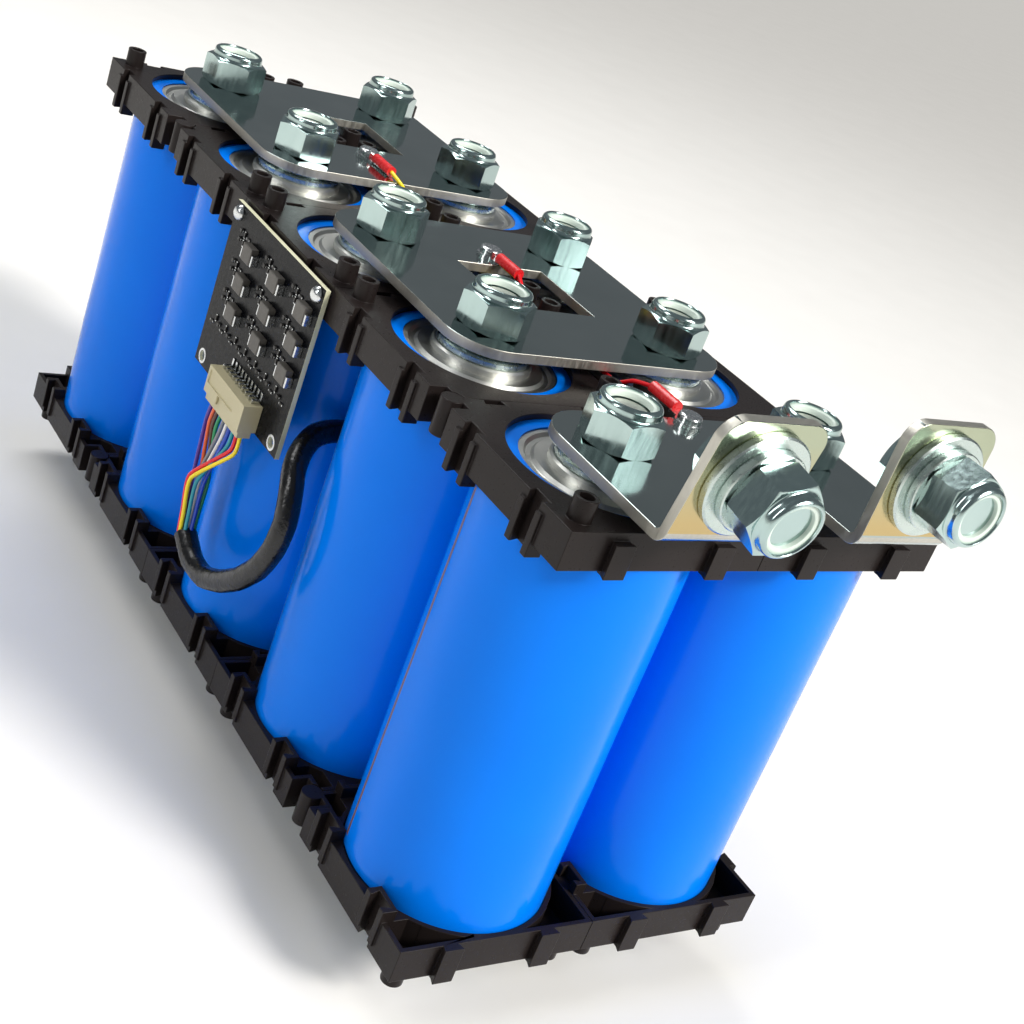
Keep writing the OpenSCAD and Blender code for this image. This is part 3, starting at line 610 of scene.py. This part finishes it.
for level in ("top", "bottom"):
    for name in cellNames:
        nodeName = level + "_module_" + name
        nearEnd, farEnd = trayValues["pocketEnds"]
        cutter = pocketCutter(name, *((-farEnd, -nearEnd) if level == "top" else (nearEnd, farEnd)))
        centre = cellCentre(name)
        cutter.data.transform(Matrix.Translation((centre.x, centre.y, trayValues["plane"][level] * mm)))
        piece = easedCopy(nodeName, level + "Tray." + name, trayValues["edge"], cutter)
        discard(cutter)
        dress(piece, finishes["blackMouldedNylon"], [nodeName])


# bus plates

print("plates")
# heights from which the terminal plate's faces belong to the lugs, to its flat part and to the tips
plateValues = {"edge": 0.22, "lugFrom": 170, "flatTop": 169, "tipFrom": 200}
plateNodes = {"top_plate_rear": "topPlateRear", "top_plate_middle": "topPlateMiddle",
              "bottom_plate_rear": "bottomPlateRear", "bottom_plate_middle": "bottomPlateMiddle",
              "bottom_plate_front": "bottomPlateFront", "terminal_plate": "terminalPlate"}


def onLugFront(centre, normal):
    return normal.y < -0.5 and centre.z > plateValues["lugFrom"] * mm


def onLugPlateEdge(centre, normal):
    return (abs(normal.x) > 0.5 or (abs(normal.z) < 0.5 and centre.z < plateValues["flatTop"] * mm)
            or (normal.z > 0.9 and centre.z > plateValues["tipFrom"] * mm))


for nodeName, pieceName in plateNodes.items():
    piece = easedCopy(nodeName, pieceName, plateValues["edge"])
    dress(piece, finishes["brightNickelPlate"], [nodeName])
    if nodeName == "terminal_plate":
        # the lug fronts take the painted reflection, straw below and blue-green at the tip
        paintFaces(piece, finishes["lugPaintedReflection"], onLugFront)
        paintFaces(piece, finishes["sawnPlateEdge"], onLugPlateEdge)
    else:
        paintFaces(piece, finishes["sawnPlateEdge"], lambda centre, normal: abs(normal.z) < 0.4)


# lock nuts, washers and lug bolts

print("fasteners")
nutValues = {"flats": 19.0, "height": 12.8, "hexHeight": 9.6, "bore": 6.05, "collar": 8.6,
             "chamfer": 0.95, "round": 1.25}
# outlines as radius and height: the collar's foot from the top of the hexagon, the nylon ring and
# the collar's rolled lip from the top of the nut
collarFoot = [(7.75, -2), (9.35, -0.6), (9.35, 0), (9.05, 0.08), (8.8, 0.3), (8.66, 0.7), (8.6, 1.2)]
collarLip = [(7.2, -0.25), (7.1, -0.6), (7.25, -0.95), (7.75, -1.2)]
nylonRing = [(5.75, -2.6), (7.8, -2.6), (7.8, -1.15), (7.2, -0.85), (6.4, -0.8), (5.9, -1.0),
             (5.7, -1.5)]


def raised(outline, height):
    return [(r, height + z) for r, z in outline]


def lockNut():
    v = nutValues
    h = v["height"]
    top = v["hexHeight"]
    corner = v["flats"] / math.sqrt(3)
    bpy.ops.mesh.primitive_cylinder_add(vertices=6, radius=corner * mm, depth=top * mm,
                                        location=(0, 0, top / 2 * mm), rotation=(0, 0, math.radians(30)))
    nut = bpy.context.object
    settle(nut)
    past = corner + 0.2
    chamfer = spinOutline([(0, 0), (v["flats"] / 2, 0), (past, v["chamfer"]), (past, top - v["chamfer"]),
                           (v["flats"] / 2, top), (0, top)], "nutChamfer", 72, closed=False)
    applyModifier(nut, "BOOLEAN", object=chamfer, operation="INTERSECT", solver="EXACT")
    discard(chamfer)
    bore = spinOutline([(0, -1), (v["bore"], -1), (v["bore"], h + 1.2), (0, h + 1.2)], "nutBore", 48,
                       closed=False)
    applyModifier(nut, "BOOLEAN", object=bore, operation="DIFFERENCE", solver="EXACT")
    discard(bore)
    mergeFlats(nut, 0.00001)
    turns = [math.radians(15 * k) for k in range(7)]
    shoulder = [(v["collar"] - v["round"] * (1 - math.cos(a)), h - 1.35 + v["round"] * math.sin(a))
                for a in turns]
    collar = spinOutline(raised(collarFoot, top) + shoulder + raised(collarLip, h), "nutCollar", 64)
    nut = joinPieces([nut, collar], "lockNutModel")
    smoothByAngle(nut, 36)
    flatFacesFirst(nut)
    ring = spinOutline(raised(nylonRing, h), "lockRingModel", 48)
    smoothByAngle(ring, 40)
    return nut, ring


# outer and inner radius and thickness
washerValues = {"wide": (14.0, 6.3, 2.0), "small": (12.0, 6.3, 2.0), "lug": (14.5, 6.3, 2.5),
                "spring": (11.5, 6.6, 2.5)}


def washerModel(kind, name):
    outer, inner, thick = washerValues[kind]
    if kind == "spring":
        # coiled from square wire, with the gap where its ends meet
        outline = [(inner, 0.2), (inner + 0.2, 0), (outer - 0.3, 0), (outer, 0.3), (outer, thick - 0.3),
                   (outer - 0.3, thick), (inner + 0.2, thick), (inner, thick - 0.2)]
        piece = spinOutline(outline, name, 60, 355)
    else:
        outline = [(inner, 0.25), (inner + 0.25, 0), (outer - 0.35, 0), (outer, 0.3),
                   (outer, thick - 0.45), (outer - 0.5, thick), (inner + 0.3, thick),
                   (inner, thick - 0.25)]
        piece = spinOutline(outline, name, 72)
    smoothByAngle(piece, 25)
    return piece


def studPlaces():
    # two frames at each cell's middle: z points out of its top, and then out of its bottom
    places = []
    for name in cellNames:
        middle = Matrix.Translation(cellCentre(name))
        places += [middle, middle @ Matrix.Rotation(math.pi, 4, "X")]
    return places


# lean and turns are in degrees, for the left lug and the right
lugValues = {"x": 32.5, "bendY": -170.5, "bendZ": 169.74, "out": 4.5, "up": 16.0, "lean": (8.0, 0),
             "washer": 2.5, "gap": 0.02, "nutTurns": (12, 29), "springTurns": (-63.02536, -80.21409)}
# heights from the cell's middle at which the stud's washers and nuts sit
stackValues = {"baseEnd": 70.7, "secondWasher": 72.72, "plateTop": 77.72}


def lugPlaces():
    # a frame on the front of each lug, left and then right, with its z along the bolt
    v = lugValues
    places = []
    for side, lean in zip((-1, 1), v["lean"]):
        bend = Matrix.Translation(packPoint((side * v["x"], v["bendY"], v["bendZ"])))
        places.append(bend @ Matrix.Rotation(math.radians(lean), 4, "X")
                      @ Matrix.Translation((0, -v["out"] * mm, v["up"] * mm))
                      @ Matrix.Rotation(math.pi / 2, 4, "X"))
    return places


def lift(height):
    return Matrix.Translation((0, 0, height * mm))


def spun(angle):
    return Matrix.Rotation(angle, 4, "Z")


nut, lockRing = lockNut()
wideWasher = washerModel("wide", "wideWasherModel")
smallWasher = washerModel("small", "smallWasherModel")
nutCopies, ringCopies, washerCopies = [], [], []
for place in studPlaces():
    onPlate = place @ lift(stackValues["plateTop"]) @ spun(random.uniform(0, math.pi / 3))
    nutCopies.append(copyPiece(nut, "nutCopy", onPlate))
    ringCopies.append(copyPiece(lockRing, "ringCopy", onPlate))
    washerCopies.append(copyPiece(wideWasher, "washerCopy", place @ lift(stackValues["baseEnd"])))
    washerCopies.append(copyPiece(smallWasher, "washerCopy", place @ lift(stackValues["secondWasher"])))
dress(joinPieces(nutCopies, "terminalNuts"), finishes["blueZincSteel"], ["terminal_nuts"])
dress(joinPieces(ringCopies, "terminalLockRings"), finishes["nylonLockRing"])
dress(joinPieces(washerCopies, "terminalWashers"), finishes["zincWasherSteel"],
      ["terminal_washers"])

flatWasher = washerModel("lug", "flatLugWasherModel")
springWasher = washerModel("spring", "springWasherModel")
lugNutCopies, lugRingCopies, lugWasherCopies = [], [], []
for k, place in enumerate(lugPlaces()):
    secondAt = lugValues["washer"] + lugValues["gap"]
    springTurn, nutTurn = (spun(math.radians(lugValues[key][k])) for key in ("springTurns", "nutTurns"))
    turned = place @ lift(secondAt + lugValues["washer"]) @ nutTurn
    lugNutCopies.append(copyPiece(nut, "nutCopy", turned))
    lugRingCopies.append(copyPiece(lockRing, "ringCopy", turned))
    lugWasherCopies.append(copyPiece(flatWasher, "washerCopy", place))
    lugWasherCopies.append(copyPiece(springWasher, "washerCopy", place @ lift(secondAt) @ springTurn))
dress(joinPieces(lugNutCopies, "lugNuts"), finishes["blueZincSteel"], ["lug_nuts"])
dress(joinPieces(lugRingCopies, "lugLockRings"), finishes["nylonLockRing"])
dress(joinPieces(lugWasherCopies, "lugWashers"), finishes["zincWasherSteel"],
      ["lug_washers"])
lugBolts = easedCopy("lug_bolts", "lugBolts", 0)
dress(lugBolts, finishes["blueZincSteel"], ["lug_bolts"])
for model in (nut, lockRing, wideWasher, smallWasher, flatWasher, springWasher):
    discard(model)


# balance board

print("balance board")
boardValues = {"face": -67.4, "top": 159.92, "edge": 0.1, "chipY": 14.0, "chipPitchY": 20.0,
               "chipDown": 10.4, "chipPitchZ": 10.1, "chipSize": (6.4, 5.4, 2.6), "chipEdge": 0.25,
               "capOut": 3.4, "capDown": 0.8, "capSize": (1.5, 3.6, 2.3), "capEdge": 0.15,
               "holeY": 28.2, "holeZ": 107.52, "holeRadius": 1.75, "ringRadius": 2.5, "tin": 0.06}
# small parts: seven beside each resistor, in rows of three, and a band of them above the header
smallPartValues = {"perChip": 7, "beside": 5.2, "above": 3.0, "pitch": 2.7, "band": 22, "bandY": 28,
                   "bandPitch": 2.65, "bandZ": 121.4, "reachY": 31, "edgeDown": 4,
                   "sizes": ((1.5, 0.8, 0.5), (0.8, 1.6, 0.55), (1.3, 1.2, 0.8)), "edge": 0.06,
                   "padSize": (0.65, 0.65, 0.4), "padEdge": 0.05, "padOut": 0.05}
# the parts of each pin: name, height, size and eased edge
pinShapes = (("pinFoot", 116.2, (1.0, 2.8, 0.45), 0.08), ("pinBend", 114.6, (1.0, 1.4, 3.2), 0.12))
headerValues = {"edge": 0.15, "windowLow": (6.5, 3.4), "windowHigh": (1.2, 1.3), "windowDepth": 0.5}


def onBoard(y, z, out=0.0):
    # a place on the board's outer face, out towards -x
    return (boardValues["face"] - out, y, z)


def boardBlock(name, y, z, size, bevel):
    # size is along y, along z and out of the face
    bpy.ops.mesh.primitive_cube_add(size=1, location=packPoint(onBoard(y, z, size[2] / 2)))
    piece = bpy.context.object
    piece.name = piece.data.name = name
    piece.scale = (size[2] * mm, size[0] * mm, size[1] * mm)
    settle(piece)
    startEdit(piece)
    bpy.ops.mesh.select_all(action="SELECT")
    bpy.ops.mesh.bevel(offset=min(bevel, min(size) * 0.3) * mm, segments=2, affect="EDGES")
    endEdit()
    return piece


def chipPlaces():
    # each power resistor's place along y and z, column by column
    v = boardValues
    return [(v["chipY"] - column * v["chipPitchY"], v["top"] - v["chipDown"] - row * v["chipPitchZ"])
            for column in range(3) for row in range(3)]


def smallPartPlaces():
    v = smallPartValues
    places = []
    for y, z in chipPlaces():
        for k in range(v["perChip"]):
            places.append((y + v["beside"] + (k % 3) * v["pitch"],
                           z + v["above"] - (k // 3) * v["pitch"] + 0.4 * ((k * 7) % 3 - 1), k))
    for k in range(v["band"]):
        places.append((v["bandY"] - k * v["bandPitch"], v["bandZ"] + 1.1 * ((k * 5) % 3 - 1), k))
    top = boardValues["top"] - v["edgeDown"]
    return [place for place in places if abs(place[0]) <= v["reachY"] and place[1] <= top]


def smallParts():
    v = smallPartValues
    ceramics, pads = [], []
    for y, z, k in smallPartPlaces():
        size = v["sizes"][k % 3]
        ceramics.append(boardBlock("smallPart", y, z, size, v["edge"]))
        for side in (-1, 1):
            # a pad at each end of the longer side
            acrossY = side * (size[0] / 2 + v["padOut"]) if size[0] >= size[1] else 0
            acrossZ = 0 if size[0] >= size[1] else side * (size[1] / 2 + v["padOut"])
            pads.append(boardBlock("smallPad", y + acrossY, z + acrossZ, v["padSize"], v["padEdge"]))
    return ceramics, pads


def holeRing(side):
    # tinned ring round a free mounting hole
    v = boardValues
    ring = spinOutline([(v["holeRadius"], 0), (v["ringRadius"], 0), (v["ringRadius"], v["tin"]),
                        (v["holeRadius"], v["tin"])], "holeRing", 40)
    hole = packPoint(onBoard(side * v["holeY"], v["holeZ"]))
    ring.data.transform(Matrix.Translation(hole) @ Matrix.Rotation(-math.pi / 2, 4, "Y"))
    return ring


board = easedCopy("balance_board", "balanceBoard", boardValues["edge"])
dress(board, finishes["blackSolderMask"], ["balance_board"])
paintFaces(board, finishes["routedFr4Edge"], lambda centre, normal: abs(normal.x) < 0.5)

bodies, caps = [], []
for y, z in chipPlaces():
    bodies.append(boardBlock("resistorBody", y, z, boardValues["chipSize"], boardValues["chipEdge"]))
    for side in (-1, 1):
        caps.append(boardBlock("resistorCap", y + side * boardValues["capOut"],
                               z - boardValues["capDown"], boardValues["capSize"],
                               boardValues["capEdge"]))
dress(joinPieces(bodies, "powerResistors"), finishes["greyResistorEpoxy"],
      ["board_resistors"])
dress(joinPieces(caps, "resistorCaps"), finishes["tinnedCopper"])

ceramics, pads = smallParts()
dress(joinPieces(ceramics, "smallParts"), finishes["smallPartCeramic"])
for k in range(leadValues["pins"]):
    for name, z, size, bevel in pinShapes:
        pads.append(boardBlock(name, pinPlace(k), z, size, bevel))
pads += [holeRing(side) for side in (-1, 1)]
dress(joinPieces(pads, "solderPads"), finishes["tinnedCopper"])

# a window in the header's outer face, with thicker walls towards the lugs and below
low, high = ([v / mm for v in corner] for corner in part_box("board_header"))
fromLow, fromHigh = headerValues["windowLow"], headerValues["windowHigh"]
window = plainBox((low[0] - 1, low[1] + fromLow[0], low[2] + fromLow[1]),
                  (low[0] + headerValues["windowDepth"], high[1] - fromHigh[0], high[2] - fromHigh[1]))
header = easedCopy("board_header", "boardHeader", headerValues["edge"], window)
discard(window)
dress(header, finishes["creamNylon"], ["board_header"])
plug = easedCopy("wire_plug", "wirePlug", headerValues["edge"])
dress(plug, finishes["creamNylon"], ["wire_plug"])
screwHeads = easedCopy("board_screws", "boardScrews", boardValues["edge"])
dress(screwHeads, finishes["tinnedCopper"], ["board_screws"])


# tap terminals

print("tap terminals")
# middle heights of the flat rings on the upper and lower plates, and half of their thickness
tapValues = {"ringHeights": (168.24, 12.8), "ringHalf": 0.85, "screwEdge": 0.12}


def onFlatRing(centre, normal):
    offset = min(abs(centre.z - height * mm) for height in tapValues["ringHeights"])
    return offset < tapValues["ringHalf"] * mm


rings = easedCopy("tap_terminals", "tapTerminals", 0)
dress(rings, finishes["redCrimpSleeve"], ["tap_terminals"])
paintFaces(rings, finishes["tinnedCopper"], onFlatRing)
tapScrews = easedCopy("tap_screws", "tapScrews", tapValues["screwEdge"])
dress(tapScrews, finishes["tinnedCopper"], ["tap_screws"])


# studio

print("studio")
studioValues = {"floorSize": 30.0, "floorColours": ("#EDECE9", "#F3F2EF"), "world": "#B4BAC0",
                "worldStrength": 0.34, "sunStrength": 2.85, "sunAngle": 14.0,
                "sunFrom": (0.42, -1.0, 0.8), "sunColour": "#FFFAF3"}
# each softbox's place, what it is aimed at, its size in metres and its watts
softboxes = {"frontSoftbox": ((0.55, -0.9, 0.7), (0, -0.05, 0.12), (0.35, 0.9), 6),
             "leftSoftbox": ((-1.1, -0.1, 0.8), (0, 0, 0.1), (0.25, 0.9), 5),
             "topSoftbox": ((-0.1, 0.7, 1.1), (0, 0, 0.15), (1.1, 0.35), 9)}


def aimAlong(light, direction):
    light.rotation_euler = direction.to_track_quat("-Z", "Y").to_euler()


def addSoftbox(name, place, aim, size, watts):
    bpy.ops.object.light_add(type="AREA", location=place)
    light = bpy.context.object
    light.name = name
    light.data.shape = "RECTANGLE"
    light.data.size, light.data.size_y = size
    light.data.energy = watts
    aimAlong(light, Vector(aim) - Vector(place))


deselectAll()
bpy.ops.mesh.primitive_plane_add(size=studioValues["floorSize"], location=(0, 0, 0))
floor = bpy.context.object
floor.name = "studioFloor"
floor.data.materials.append(surfaceFinish("paleStudioFloor", studioValues["floorColours"], 30.0,
                                          (0.75, 0.85), 0.0))
bpy.ops.object.light_add(type="SUN", location=(0, 0, 2))
sun = bpy.context.object
sun.name = "softSun"
sun.data.energy = studioValues["sunStrength"]
sun.data.angle = math.radians(studioValues["sunAngle"])
sun.data.color = linear(studioValues["sunColour"])[:3]
aimAlong(sun, -Vector(studioValues["sunFrom"]))
for name, settings in softboxes.items():
    addSoftbox(name, *settings)
world = bpy.data.worlds.new("studioWorld")
bpy.context.scene.world = world
world.use_nodes = True
background = world.node_tree.nodes["Background"]
background.inputs["Color"].default_value = linear(studioValues["world"])
background.inputs["Strength"].default_value = studioValues["worldStrength"]
bpy.context.scene.view_settings.view_transform = "Standard"  # keeps the film's blue as deep as it is

print("finish")
